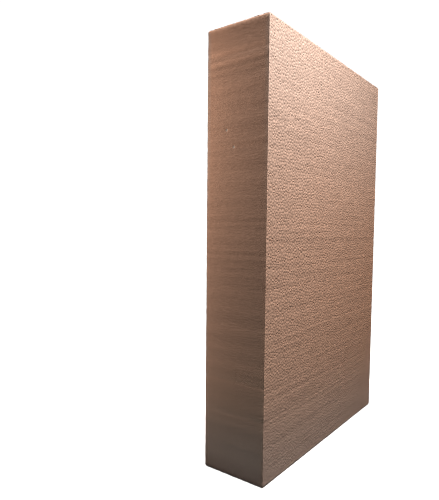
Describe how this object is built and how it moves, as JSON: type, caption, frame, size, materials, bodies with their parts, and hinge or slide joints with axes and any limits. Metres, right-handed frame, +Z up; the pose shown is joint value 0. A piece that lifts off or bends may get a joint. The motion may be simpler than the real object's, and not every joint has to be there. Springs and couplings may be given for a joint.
{
  "type": "foam block",
  "caption": "Rectangular block of expanded polystyrene bead foam, cut square with a hot wire and standing on a small end.",
  "frame": {"origin": "middle of the base, the small end that the block stands on", "axes": "+Z up along the height, +X across the broad faces, +Y through the thickness, away from the front broad face"},
  "size_m": [0.32, 0.08, 0.5],
  "materials": {
    "bead_foam": "hot-wire cut bead foam, matt with a faint bead relief"
  },
  "bodies": {
    "root": {"foam_block": "bead_foam"}
  },
  "joints": []
}
